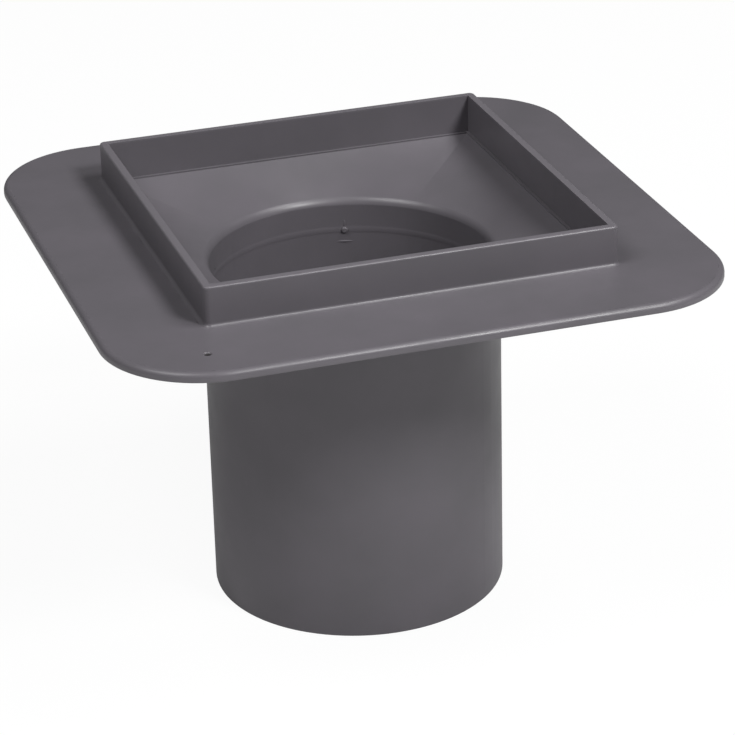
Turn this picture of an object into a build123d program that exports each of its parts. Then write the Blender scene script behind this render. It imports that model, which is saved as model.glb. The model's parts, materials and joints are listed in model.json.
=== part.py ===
from build123d import *
import math
import os

# Spigot, the pipe end that pushes down into a 110 mm drain socket
spigot_outer_diameter = 110.0
spigot_wall = 3.0
spigot_length = 139.5
spigot_end_chamfer = 0.5

# Flange, the flat square plate that is bedded into the floor
flange_width = 224.0
flange_thickness = 3.5
flange_corner_radius = 37.5
flange_upper_edge_radius = 1.0
flange_lower_edge_chamfer = 0.4

# Frame, the square upstand that holds the grate
frame_width = 150.0
frame_wall = 3.0
frame_height = 14.6
frame_corner_radius = 2.0
frame_foot_radius = 1.0
frame_rim_radius = 0.5

# Ledge left by the mould core, all round the foot of the frame's inner walls
ledge_width = 1.0
ledge_depth = 0.2

# Pan, the floor inside the frame that falls from the square to the round mouth
pan_rim_depth = 0.8
pan_foot_depth = 12.0
pan_wall = 3.2

# Lip, the rounded edge over which the pan runs into the bore
lip_width = 2.0
lip_height = 3.0

# Witness ring inside the bore, where the two mould cores met
witness_ring_depth = 24.9
witness_ring_height = 3.2
witness_ring_proud = 0.25

# Gate stub, the broken-off feed of the moulding, on the witness ring
gate_stub_angle = 75.0
gate_stub_diameter = 3.0
gate_stub_end_diameter = 2.0
gate_stub_proud = 0.9
gate_stub_sink = 0.5

# Sink pit in the flange, beside the frame's front left corner
pit_x = -80.0
pit_y = -95.7
pit_diameter = 3.2
pit_depth = 0.7

# Places worked out from the sizes above
spigot_outer_radius = spigot_outer_diameter / 2
bore_radius = spigot_outer_radius - spigot_wall
flange_underside = spigot_length
flange_top = spigot_length + flange_thickness
frame_top = flange_top + frame_height
frame_inner_width = frame_width - 2 * frame_wall
pan_width = frame_inner_width - 2 * ledge_width
ledge_level = flange_top - ledge_depth
pan_rim_level = flange_top - pan_rim_depth
pan_foot_radius = bore_radius + lip_width
pan_foot_level = flange_top - pan_foot_depth
mouth_level = pan_foot_level - lip_height
witness_ring_level = flange_top - witness_ring_depth

# How far apart two places may be and still count as the same
tolerance = 0.001


def square_wire(width, level):
    """A level square, started at its +X +Y corner."""
    half = width / 2
    corners = [(half, half, level), (-half, half, level), (-half, -half, level), (half, -half, level)]
    return Wire.make_polygon(corners, close=True)


def quartered_circle(radius, level):
    """A level circle cut into four arcs, one facing each side of the square."""
    plane = Plane.XY.offset(level)
    starts = [45 + 90 * quarter for quarter in range(4)]
    return Wire([Edge.make_circle(radius, plane, start, start + 90) for start in starts])


def square_to_round(width, square_level, radius, round_level):
    """The funnel form: its corner creases fade out towards the circle."""
    sections = [quartered_circle(radius, round_level), square_wire(width, square_level)]
    return Solid.make_loft(sections, ruled=True)


def rounded_plate(width, corner_radius, low, high):
    outline = RectangleRounded(width, width, corner_radius)
    return extrude(Plane.XY.offset(low) * outline, high - low)


def square_block(width, low, high):
    return extrude(Plane.XY.offset(low) * Rectangle(width, width), high - low)


def round_block(radius, low, high):
    return extrude(Plane.XY.offset(low) * Circle(radius), high - low)


def level_edges(part, level, width):
    """Edges that lie flat at one level, inside a square of the given width about the axis."""
    reach = width / 2 + tolerance
    found = ShapeList()
    for edge in part.edges():
        box = edge.bounding_box()
        flat = abs(box.min.Z - level) < tolerance and abs(box.max.Z - level) < tolerance
        inside = max(-box.min.X, box.max.X, -box.min.Y, box.max.Y) < reach
        if flat and inside:
            found.append(edge)
    return found


def flange():
    plate = rounded_plate(flange_width, flange_corner_radius, flange_underside, flange_top)
    plate = fillet(level_edges(plate, flange_top, flange_width), flange_upper_edge_radius)
    return chamfer(level_edges(plate, flange_underside, flange_width), flange_lower_edge_chamfer)


def pan_fall():
    """How much the pan drops for each millimetre inwards, half way along a side."""
    return (pan_rim_level - pan_foot_level) / (pan_width / 2 - pan_foot_radius)


def pan_underside():
    """The inverted funnel form under the pan, which keeps the pan's wall even."""
    fall = pan_fall()
    wall_below = pan_wall * math.sqrt(1 + fall * fall)
    underside_half = pan_width / 2 + (wall_below + pan_rim_depth - flange_thickness) / fall
    round_level = flange_underside - (underside_half - spigot_outer_radius) * fall
    return square_to_round(2 * underside_half, flange_underside, spigot_outer_radius, round_level)


def outer_body():
    """Everything as if it were solid inside, with the frame's foot rounded into the flange."""
    frame = rounded_plate(frame_width, frame_corner_radius, flange_underside, frame_top)
    body = flange() + frame
    body = fillet(level_edges(body, flange_top, frame_width), frame_foot_radius)
    spigot = round_block(spigot_outer_radius, 0, flange_underside)
    return body + pan_underside() + spigot


def lip():
    """The space inside the lip: an arc that leaves the pan without a kink and ends at the bore."""
    top = (pan_foot_radius, 0, pan_foot_level)
    bottom = (bore_radius, 0, mouth_level)
    curve = TangentArc(top, bottom, tangent=(-1, 0, -pan_fall()))
    closing = Polyline(bottom, (0, 0, mouth_level), (0, 0, pan_foot_level), top)
    return revolve(make_face(curve + closing), Axis.Z)


def hollow():
    """The open space: grate seat, ledge, pan, lip and bore."""
    seat = square_block(frame_inner_width, ledge_level, frame_top)
    ledge_step = square_block(pan_width, pan_rim_level, ledge_level)
    pan = square_to_round(pan_width, pan_rim_level, pan_foot_radius, pan_foot_level)
    bore = round_block(bore_radius, 0, mouth_level)
    return seat + ledge_step + pan + lip() + bore


def witness_ring():
    half = witness_ring_height / 2
    top = (bore_radius, 0, witness_ring_level + half)
    crest = (bore_radius - witness_ring_proud, 0, witness_ring_level)
    bottom = (bore_radius, 0, witness_ring_level - half)
    outer = bore_radius + spigot_wall / 2
    outline = Polyline(bottom, (outer, 0, bottom[2]), (outer, 0, top[2]), top, crest, bottom)
    return revolve(make_face(outline), Axis.Z)


def gate_stub():
    length = gate_stub_proud + gate_stub_sink
    align = (Align.CENTER, Align.CENTER, Align.MIN)
    stub = Cone(gate_stub_diameter / 2, gate_stub_end_diameter / 2, length, align=align)
    angle = math.radians(gate_stub_angle)
    reach = bore_radius + gate_stub_sink
    seat = Plane(
        origin=(reach * math.cos(angle), reach * math.sin(angle), witness_ring_level),
        z_dir=(-math.cos(angle), -math.sin(angle), 0),
    )
    return seat * stub


def pit():
    """A shallow round-bottomed dimple that cuts the flange's upper face."""
    half = pit_diameter / 2
    ball_radius = (half * half + pit_depth * pit_depth) / (2 * pit_depth)
    return Pos(pit_x, pit_y, flange_top - pit_depth + ball_radius) * Sphere(ball_radius)


def drain_funnel():
    body = outer_body() - hollow()
    body = fillet(level_edges(body, frame_top, frame_width), frame_rim_radius)
    body = chamfer(level_edges(body, 0, spigot_outer_diameter), spigot_end_chamfer)
    return body + witness_ring() + gate_stub() - pit()


os.makedirs("parts", exist_ok=True)
funnel = drain_funnel()
export_step(funnel, "parts/drain_funnel.step")
print("drain_funnel", len(funnel.solids()), round(funnel.volume), funnel.is_valid)
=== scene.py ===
import json
import math

import bmesh
import bpy
from mathutils import Matrix, Vector


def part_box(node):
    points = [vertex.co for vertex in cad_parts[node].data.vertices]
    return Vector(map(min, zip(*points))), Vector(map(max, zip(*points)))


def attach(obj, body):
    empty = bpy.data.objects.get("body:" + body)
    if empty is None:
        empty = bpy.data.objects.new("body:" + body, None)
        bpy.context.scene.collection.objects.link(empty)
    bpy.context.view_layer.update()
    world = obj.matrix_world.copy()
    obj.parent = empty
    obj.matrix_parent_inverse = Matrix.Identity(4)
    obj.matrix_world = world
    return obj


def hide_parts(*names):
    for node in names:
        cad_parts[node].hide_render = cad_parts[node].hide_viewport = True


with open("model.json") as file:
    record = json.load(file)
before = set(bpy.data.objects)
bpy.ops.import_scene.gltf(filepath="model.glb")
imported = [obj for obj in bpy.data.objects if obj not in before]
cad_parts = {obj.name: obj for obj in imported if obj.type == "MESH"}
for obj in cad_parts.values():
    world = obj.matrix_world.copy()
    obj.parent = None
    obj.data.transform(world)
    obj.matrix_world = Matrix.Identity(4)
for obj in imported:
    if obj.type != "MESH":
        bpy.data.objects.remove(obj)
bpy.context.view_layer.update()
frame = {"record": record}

# Camera. The photograph was taken with a long lens from the front left, looking down
# about 25 degrees on the funnel, which fills the square picture.
camera_place = Vector((-0.3034, -0.9799, 0.5555))
camera_yaw = math.radians(17.49)
camera_pitch = math.radians(24.71)
camera_roll = math.radians(1.52)
camera_lens = 148.25
camera_sensor = 36.0

camera_data = bpy.data.cameras.new("camera")
camera_data.lens = camera_lens
camera_data.sensor_width = camera_sensor
camera_data.sensor_fit = "HORIZONTAL"
camera = bpy.data.objects.new("camera", camera_data)
bpy.context.scene.collection.objects.link(camera)
turn = Matrix.Rotation(-camera_yaw, 4, "Z")
tilt = Matrix.Rotation(math.pi / 2 - camera_pitch, 4, "X")
roll = Matrix.Rotation(-camera_roll, 4, "Z")
camera.matrix_world = Matrix.Translation(camera_place) @ turn @ tilt @ roll
bpy.context.scene.camera = camera

# Funnel moulding. One injection moulding of rigid PVC: a wide flange, the square frame
# for the grate, the pan that falls to the round mouth, and the spigot below it. Each
# ring here is one corner of that section, taken right round the part.
mounts = {mount["name"]: mount for mount in frame["record"]["mounts"]}
lowest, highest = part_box("drain_funnel")
millimetre = 0.001

flange_half = highest.x
flange_corner = 37.5 * millimetre
flange_top = mounts["flange_top"]["pos_m"][2]
flange_underside = mounts["flange_underside"]["pos_m"][2]
flange_upper_edge = 2.2 * millimetre
flange_lower_edge = 0.4 * millimetre

frame_half = 75.0 * millimetre
frame_wall = 3.0 * millimetre
frame_top = highest.z
frame_corner = 2.0 * millimetre
frame_foot = 1.4 * millimetre
frame_rim_outer = 0.7 * millimetre
frame_rim_inner = 0.2 * millimetre

ledge_width = 1.0 * millimetre
ledge_level = flange_top - 0.2 * millimetre
pan_half = frame_half - frame_wall - ledge_width
pan_rim_level = flange_top - 0.8 * millimetre
lip_top_radius = 54.0 * millimetre
lip_top_level = flange_top - 12.0 * millimetre
mouth_level = flange_top - 15.0 * millimetre
lip_rings = 8

spigot_radius = mounts["spigot"]["dims"]["r_mm"] * millimetre
bore_radius = mounts["spigot_bore"]["dims"]["r_mm"] * millimetre
spigot_edge = 0.5 * millimetre
pan_foot_half = 72.72 * millimetre
pan_foot_level = flange_top - 15.17 * millimetre

bead_level = flange_top - 24.9 * millimetre
bead_height = 3.2 * millimetre
bead_proud = 0.25 * millimetre
bead_rounding = bead_height / 3

# Each side of a ring has short steps near its two corners, where the square is rounded,
# and longer ones between.
corner_steps = 10
side_steps = 24
corner_share = 0.04
ring_steps = 4 * (2 * corner_steps + side_steps)


def place_along_side(step):
    """Share of the way along a side at this step."""
    if step < corner_steps:
        return corner_share * step / corner_steps
    if step > corner_steps + side_steps:
        return 1 - corner_share * (2 * corner_steps + side_steps - step) / corner_steps
    return corner_share + (1 - 2 * corner_share) * (step - corner_steps) / side_steps


def on_circle(share, reach, corner):
    angle = math.radians(45 + 90 * share)
    return reach * math.cos(angle), reach * math.sin(angle)


def on_square(share, reach, corner):
    return reach * (1 - 2 * share), reach


def on_rounded_square(share, reach, corner):
    flat = reach - corner
    if share < corner_share:
        angle = math.radians(45 + 45 * share / corner_share)
        return flat + corner * math.cos(angle), flat + corner * math.sin(angle)
    if share > 1 - corner_share:
        angle = math.radians(135 - 45 * (1 - share) / corner_share)
        return -flat + corner * math.cos(angle), flat + corner * math.sin(angle)
    return flat * (1 - 2 * (share - corner_share) / (1 - 2 * corner_share)), reach


def lay_ring(vertices, index_of, outline, reach, level, corner=0.0):
    """Puts a ring of vertices on a circle or a square round the axis."""
    for vertex in vertices:
        quarter, step = divmod(vertex[index_of], ring_steps // 4)
        x, y = outline(place_along_side(step), reach, corner)
        vertex.co = Matrix.Rotation(math.radians(90 * quarter), 3, "Z") @ Vector((x, y, level))


def next_ring(mesh, ring, *place):
    """Extrudes a ring of edges into the next one and gives the new ring and the spokes between."""
    grown = bmesh.ops.extrude_edge_only(mesh, edges=ring)["geom"]
    vertices = [part for part in grown if isinstance(part, bmesh.types.BMVert)]
    lay_ring(vertices, ring_index, *place)
    on_new_ring = set(vertices)
    linked = dict.fromkeys(edge for vertex in vertices for edge in vertex.link_edges)
    new_ring = [edge for edge in linked if all(vertex in on_new_ring for vertex in edge.verts)]
    ring_edges = set(new_ring)
    return new_ring, [edge for edge in linked if edge not in ring_edges]


moulding = bmesh.new()
ring_index = moulding.verts.layers.int.new("ring_index")
first = bmesh.ops.create_circle(moulding, cap_ends=False, radius=bore_radius, segments=ring_steps)["verts"]
for index, vertex in enumerate(first):
    vertex[ring_index] = index
lay_ring(first, ring_index, on_circle, bore_radius, lowest.z)


def lip_places(rings_wanted):
    """The rounded lip, from the bore's edge up to where the pan leaves it without a kink."""
    pan_slope = math.atan2(pan_rim_level - lip_top_level, pan_half - lip_top_radius)
    across, up = lip_top_radius - bore_radius, lip_top_level - mouth_level
    half_turn = math.atan2(up, across) - pan_slope
    lip_radius = math.hypot(across, up) / (2 * math.sin(half_turn))
    places = []
    for step in range(1, rings_wanted + 1):
        slope = pan_slope + 2 * half_turn * (1 - step / rings_wanted)
        radius = lip_top_radius - lip_radius * (math.sin(slope) - math.sin(pan_slope))
        level = lip_top_level - lip_radius * (math.cos(pan_slope) - math.cos(slope))
        places.append((on_circle, radius, level))
    return places


section = {
    "bead_foot": (on_circle, bore_radius, bead_level - bead_height / 2),
    "bead": (on_circle, bore_radius - bead_proud, bead_level),
    "bead_top": (on_circle, bore_radius, bead_level + bead_height / 2),
    "mouth": (on_circle, bore_radius, mouth_level),
    **{f"lip_{number}": place for number, place in enumerate(lip_places(lip_rings))},
    "pan_rim": (on_square, pan_half, pan_rim_level),
    "ledge_inside": (on_square, pan_half, ledge_level),
    "ledge_outside": (on_square, frame_half - frame_wall, ledge_level),
    "rim_inside": (on_square, frame_half - frame_wall, frame_top),
    "rim_outside": (on_rounded_square, frame_half, frame_top, frame_corner),
    "frame_foot": (on_rounded_square, frame_half, flange_top, frame_corner),
    "flange_edge": (on_rounded_square, flange_half, flange_top, flange_corner),
    "flange_underedge": (on_rounded_square, flange_half, flange_underside, flange_corner),
    "pan_foot": (on_square, pan_foot_half, flange_underside),
    "spigot_top": (on_circle, spigot_radius, pan_foot_level),
    "spigot_end": (on_circle, spigot_radius, lowest.z),
    "bore_end": (on_circle, bore_radius, lowest.z),
}
rings = {}
spokes = {}
ring = list(moulding.edges)
for name, place in section.items():
    ring, spokes[name] = next_ring(moulding, ring, *place)
    rings[name] = ring

# The last ring meets the first one at the bore's open end and is merged with it.
same_place = millimetre / 100
bmesh.ops.remove_doubles(moulding, verts=moulding.verts, dist=same_place)
rings["bore_end"] = [
    edge for edge in moulding.edges
    if all(v.co.z < lowest.z + same_place and v.co.xy.length < bore_radius + millimetre for v in edge.verts)]

# The pan and its underside are ruled from a square to a circle, so each long edge there
# is cut into short ones.
pan_cuts = 14
for name in ("pan_rim", "spigot_top"):
    bmesh.ops.subdivide_edges(moulding, edges=spokes[name], cuts=pan_cuts, use_grid_fill=True)
bmesh.ops.recalc_face_normals(moulding, faces=moulding.faces)


def round_over(mesh, edges, width, segments):
    """Rounds the edges of a ring, as the mould's own radius does."""
    edges = [edge for edge in edges if edge.is_valid]
    bmesh.ops.bevel(mesh, geom=edges, offset=width, offset_type="OFFSET", segments=segments,
                    profile=0.5, affect="EDGES", material=-1, clamp_overlap=False)


round_over(moulding, rings["rim_inside"], frame_rim_inner, 2)
round_over(moulding, rings["rim_outside"], frame_rim_outer, 4)
round_over(moulding, rings["frame_foot"], frame_foot, 6)
round_over(moulding, rings["flange_edge"], flange_upper_edge, 6)
round_over(moulding, rings["flange_underedge"], flange_lower_edge, 3)
round_over(moulding, rings["spigot_end"] + rings["bore_end"], spigot_edge, 3)
round_over(moulding, rings["bead"], bead_rounding, 4)

sharp_turn = math.radians(32)
for face in moulding.faces:
    face.smooth = True
for edge in moulding.edges:
    edge.smooth = not (edge.is_manifold and edge.calc_face_angle() > sharp_turn)

funnel_mesh = bpy.data.meshes.new("funnel_moulding")
moulding.to_mesh(funnel_mesh)
moulding.free()
funnel = bpy.data.objects.new("funnel_moulding", funnel_mesh)
bpy.context.scene.collection.objects.link(funnel)

# Pit. A small round sink mark in the flange near its front left corner, cut as a ball
# would press it.
pit_place = Vector((-80.0, -95.7, 0)) * millimetre
pit_depth = 0.7 * millimetre
pit_ball = 2.18 * millimetre
ball = bmesh.new()
bmesh.ops.create_uvsphere(
    ball, u_segments=48, v_segments=32, radius=pit_ball,
    matrix=Matrix.Translation(pit_place + Vector((0, 0, flange_top - pit_depth + pit_ball))))
for face in ball.faces:
    face.smooth = True
ball_mesh = bpy.data.meshes.new("pit_cutter")
ball.to_mesh(ball_mesh)
ball.free()
pit_cutter = bpy.data.objects.new("pit_cutter", ball_mesh)
bpy.context.scene.collection.objects.link(pit_cutter)
press_pit = funnel.modifiers.new("press_pit", "BOOLEAN")
press_pit.operation = "DIFFERENCE"
press_pit.solver = "EXACT"
press_pit.object = pit_cutter
bpy.context.view_layer.update()
pitted = bpy.data.meshes.new_from_object(funnel.evaluated_get(bpy.context.evaluated_depsgraph_get()))
funnel.modifiers.remove(press_pit)
bpy.data.objects.remove(pit_cutter)
bpy.data.meshes.remove(ball_mesh)

# Gate stub. The moulding's feed was broken off here, on the bead, and left a short rough
# peg with a pale torn end, a smear above it and a shallow curved step below.
gate_angle = math.radians(75)
gate_outward = Vector((math.cos(gate_angle), math.sin(gate_angle), 0))
gate_radius = 1.5 * millimetre
gate_end_radius = 1.0 * millimetre
gate_length = 1.4 * millimetre
gate_sink = 0.5 * millimetre
peg_end_rounding = gate_end_radius / 4
step_below_gate = 4.8 * millimetre
step_half_length = 3.6 * millimetre
step_half_height = 0.4 * millimetre
step_proud = 0.22 * millimetre
smear_above_gate = 2.3 * millimetre
smear_half_length = 1.6 * millimetre
smear_half_width = 0.4 * millimetre
smear_proud = 0.15 * millimetre


def on_bore(level, depth=0.0):
    """A frame on the bore's wall at the gate, its own Z pointing to the axis."""
    turn = Matrix.Rotation(gate_angle, 4, "Z") @ Matrix.Rotation(-math.pi / 2, 4, "Y")
    return Matrix.Translation(gate_outward * (bore_radius + depth) + Vector((0, 0, level))) @ turn


marked = bmesh.new()
marked.from_mesh(pitted)
moulded_faces = set(marked.faces)
peg = bmesh.ops.create_cone(
    marked, cap_ends=True, segments=28, radius1=gate_radius, radius2=gate_end_radius, depth=gate_length,
    matrix=on_bore(bead_level, gate_sink) @ Matrix.Translation((0, 0, gate_length / 2)))["verts"]
peg_end = [edge for vertex in peg for edge in vertex.link_edges
           if all(v.co.xy.length < bore_radius - gate_length / 3 for v in edge.verts)]
round_over(marked, list(dict.fromkeys(peg_end)), peg_end_rounding, 3)
bmesh.ops.create_uvsphere(
    marked, u_segments=32, v_segments=16, radius=1.0,
    matrix=on_bore(bead_level - step_below_gate)
    @ Matrix.Diagonal((step_half_height, step_half_length, step_proud, 1)))
bmesh.ops.create_uvsphere(
    marked, u_segments=24, v_segments=12, radius=1.0,
    matrix=on_bore(bead_level + smear_above_gate)
    @ Matrix.Diagonal((smear_half_length, smear_half_width, smear_proud, 1)))
# The peg, the step and the smear all take the pale torn colour; on the curved step that paleness is a
# painted highlight.
torn_and_step_sheen_faces = [face for face in marked.faces if face not in moulded_faces]
for face in torn_and_step_sheen_faces:
    face.material_index = 1
    face.smooth = True
marked.to_mesh(funnel_mesh)
marked.free()
bpy.data.meshes.remove(pitted)

even_shading = funnel.modifiers.new("even_shading", "WEIGHTED_NORMAL")
even_shading.keep_sharp = True


def linear(hex_colour):
    """A linear colour with alpha from an sRGB hex value."""
    channels = [int(hex_colour[place:place + 2], 16) / 255 for place in (1, 3, 5)]
    return [c / 12.92 if c <= 0.04045 else ((c + 0.055) / 1.055) ** 2.4 for c in channels] + [1.0]


def add_node(tree, kind, settings=(), links=()):
    """A node with its settings, sockets' values and the links into it."""
    node = tree.nodes.new(kind)
    for name, value in dict(settings).items():
        if isinstance(name, int) or name in node.inputs:
            node.inputs[name].default_value = value
        else:
            setattr(node, name, value)
    for socket, source in dict(links).items():
        tree.links.new(source, node.inputs[socket])
    return node


# Moulded rigid PVC, mass coloured dark grey: satin, a little cloudy where the melt
# flowed, painted paler within a millimetre of the frame's top, with the faint waves of a shrinking wall
# and the fine grain of the mould, drawn a little coarser than it is so that it shows.
pvc = bpy.data.materials.new("moulded_rigid_pvc")
pvc.use_nodes = True
tree = pvc.node_tree
surface = tree.nodes["Principled BSDF"]
surface.inputs["IOR"].default_value = 1.53
part_space = add_node(tree, "ShaderNodeTexCoord")
place_on_part = {"Vector": part_space.outputs["Object"]}

cloud_size = 30 * millimetre
clouds = add_node(tree, "ShaderNodeTexNoise",
                  {"Scale": 1 / cloud_size, "Detail": 4.0, "Roughness": 0.55}, place_on_part)
cloud_colour = add_node(tree, "ShaderNodeValToRGB", links={"Fac": clouds.outputs["Fac"]})
cloud_colour.color_ramp.elements[0].position = 0.3
cloud_colour.color_ramp.elements[0].color = linear("#676469")
cloud_colour.color_ramp.elements[1].position = 0.7
cloud_colour.color_ramp.elements[1].color = linear("#6d696f")

# Two dark marks mixed into the colour: a small dark speck on the bore's wall, and painted shade filling the
# pit in the flange, darker than the pit's own shape makes it.
speck_and_pit_shade = [
    (Vector((-44.4, 26.7, 119.9)) * millimetre, 0.6 * millimetre),
    (pit_place + Vector((0, 0, flange_top - pit_depth)), 1.5 * millimetre),
]
colour = cloud_colour.outputs["Color"]
for spot_place, spot_radius in speck_and_pit_shade:
    from_spot = add_node(tree, "ShaderNodeVectorMath", {"operation": "DISTANCE", 1: spot_place},
                         {0: part_space.outputs["Object"]})
    in_spot = add_node(tree, "ShaderNodeMapRange", {"From Min": spot_radius, "From Max": spot_radius * 0.6},
                       {"Value": from_spot.outputs["Value"]})
    spotted = add_node(tree, "ShaderNodeMix", {"data_type": "RGBA", 7: linear("#2f2d2e")},
                       {0: in_spot.outputs["Result"], 6: colour})
    colour = spotted.outputs[2]

# Painted paler: the frame's top millimetre is mixed up to half way towards a light grey.
paler_top_depth = 1.0 * millimetre
paler_top_share = 0.5
height_on_part = add_node(tree, "ShaderNodeSeparateXYZ", links=place_on_part)
near_rim = add_node(tree, "ShaderNodeMapRange",
                    {"From Min": frame_top - paler_top_depth, "From Max": frame_top, "To Max": paler_top_share},
                    {"Value": height_on_part.outputs["Z"]})
paler_top = add_node(tree, "ShaderNodeMix", {"data_type": "RGBA", 7: linear("#7e7a80")},
                  {0: near_rim.outputs["Result"], 6: colour})
tree.links.new(paler_top.outputs[2], surface.inputs["Base Color"])

gloss_patch = 18 * millimetre
patches = add_node(tree, "ShaderNodeTexNoise", {"Scale": 1 / gloss_patch, "Detail": 3.0}, place_on_part)
gloss = add_node(tree, "ShaderNodeMapRange",
                 {"From Min": 0.3, "From Max": 0.7, "To Min": 0.32, "To Max": 0.42},
                 {"Value": patches.outputs["Fac"]})
tree.links.new(gloss.outputs["Result"], surface.inputs["Roughness"])

wave_length = 22 * millimetre
waves = add_node(tree, "ShaderNodeTexNoise", {"Scale": 1 / wave_length, "Detail": 1.0}, place_on_part)
grain_size = 0.35 * millimetre
grain = add_node(tree, "ShaderNodeTexNoise", {"Scale": 1 / grain_size, "Detail": 2.0}, place_on_part)
wavy = add_node(tree, "ShaderNodeBump", {"Strength": 0.35, "Distance": 0.25 * millimetre},
                {"Height": waves.outputs["Fac"]})
grained = add_node(tree, "ShaderNodeBump", {"Strength": 0.12, "Distance": 0.02 * millimetre},
                   {"Height": grain.outputs["Fac"], "Normal": wavy.outputs["Normal"]})
tree.links.new(grained.outputs["Normal"], surface.inputs["Normal"])

# Torn PVC of the gate: stretched pale and matt where it broke. On the curved step below the gate the same
# pale colour is a painted highlight.
torn_and_sheen_pvc = bpy.data.materials.new("torn_gate_and_step_sheen_pvc")
torn_and_sheen_pvc.use_nodes = True
tree = torn_and_sheen_pvc.node_tree
surface = tree.nodes["Principled BSDF"]
surface.inputs["Roughness"].default_value = 0.5
surface.inputs["IOR"].default_value = 1.53
part_space = add_node(tree, "ShaderNodeTexCoord")
tear_size = 0.8 * millimetre
tears = add_node(tree, "ShaderNodeTexNoise", {"Scale": 1 / tear_size, "Detail": 3.0},
                 {"Vector": part_space.outputs["Object"]})
tear_colour = add_node(tree, "ShaderNodeValToRGB", links={"Fac": tears.outputs["Fac"]})
tear_colour.color_ramp.elements[0].position = 0.35
tear_colour.color_ramp.elements[0].color = linear("#737173")
tear_colour.color_ramp.elements[1].position = 0.65
tear_colour.color_ramp.elements[1].color = linear("#93908e")
tree.links.new(tear_colour.outputs["Color"], surface.inputs["Base Color"])
torn = add_node(tree, "ShaderNodeBump", {"Strength": 0.6, "Distance": 0.1 * millimetre},
                {"Height": tears.outputs["Fac"]})
tree.links.new(torn.outputs["Normal"], surface.inputs["Normal"])

funnel.data.materials.clear()
funnel.data.materials.append(pvc)
funnel.data.materials.append(torn_and_sheen_pvc)

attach(funnel, "root")
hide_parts("drain_funnel")

# Floor. A plain white studio floor that the spigot stands on. It shows paper white in the
# picture, keeps the funnel's own soft shadow, and shows faintly in the satin surface.
floor_size = 6.0
white_strength = 1.06
white_share_seen = 0.88
white_share_mirrored = 0.06
floor_mesh = bpy.data.meshes.new("floor")
floor_build = bmesh.new()
bmesh.ops.create_grid(floor_build, x_segments=1, y_segments=1, size=floor_size)
floor_build.to_mesh(floor_mesh)
floor_build.free()
floor = bpy.data.objects.new("floor", floor_mesh)
bpy.context.scene.collection.objects.link(floor)
floor_paint = bpy.data.materials.new("white_floor")
floor_paint.use_nodes = True
tree = floor_paint.node_tree
floor_surface = tree.nodes["Principled BSDF"]
floor_surface.inputs["Base Color"].default_value = linear("#dadada")
floor_surface.inputs["Roughness"].default_value = 0.9
floor_surface.inputs["Specular IOR Level"].default_value = 0.0
paper_white = add_node(tree, "ShaderNodeEmission", {"Color": linear("#ffffff"), "Strength": white_strength})
light_path = add_node(tree, "ShaderNodeLightPath")
mirrored = add_node(tree, "ShaderNodeMath", {"operation": "MAXIMUM"},
                    {0: light_path.outputs["Is Glossy Ray"], 1: light_path.outputs["Is Transmission Ray"]})
share_mirrored = add_node(tree, "ShaderNodeMath", {"operation": "MULTIPLY", 1: white_share_mirrored},
                          {0: mirrored.outputs[0]})
share_seen = add_node(tree, "ShaderNodeMath", {"operation": "MULTIPLY_ADD", 1: white_share_seen},
                      {0: light_path.outputs["Is Camera Ray"], 2: share_mirrored.outputs[0]})
as_seen = add_node(tree, "ShaderNodeMixShader", links={
    0: share_seen.outputs[0], 1: floor_surface.outputs[0], 2: paper_white.outputs[0]})
tree.links.new(as_seen.outputs[0], tree.nodes["Material Output"].inputs["Surface"])
floor_mesh.materials.append(floor_paint)

# Light. A soft key from the front right, a broad one high on the right and a broad one
# high on the left. The white floor throws light back up, and the room itself is dim.
light_centre = Vector((0, 0, 0.12))
light_distance = 2.0
room_light = 0.05


def place_light(name, azimuth, elevation, width, energy):
    """A round softbox, turned to the funnel. Azimuth 0 is +X and -90 is the front."""
    around, above = math.radians(azimuth), math.radians(elevation)
    level_reach = math.cos(above)
    direction = Vector((math.cos(around) * level_reach, math.sin(around) * level_reach, math.sin(above)))
    lamp_data = bpy.data.lights.new(name, "AREA")
    lamp_data.shape = "DISK"
    lamp_data.size = width
    lamp_data.energy = energy
    lamp = bpy.data.objects.new(name, lamp_data)
    bpy.context.scene.collection.objects.link(lamp)
    lamp.location = light_centre + direction * light_distance
    lamp.rotation_mode = "QUATERNION"
    lamp.rotation_quaternion = direction.to_track_quat("Z", "Y")


place_light("key", -62, 43, 0.49, 21.0)
place_light("high_right", -30, 58, 0.78, 12.5)
place_light("high_left", 202, 57, 1.07, 16.5)

world = bpy.data.worlds.new("studio")
bpy.context.scene.world = world
world.use_nodes = True
room = world.node_tree.nodes["Background"]
room.inputs["Color"].default_value = linear("#ffffff")
room.inputs["Strength"].default_value = room_light

bpy.context.scene.view_settings.view_transform = "Standard"
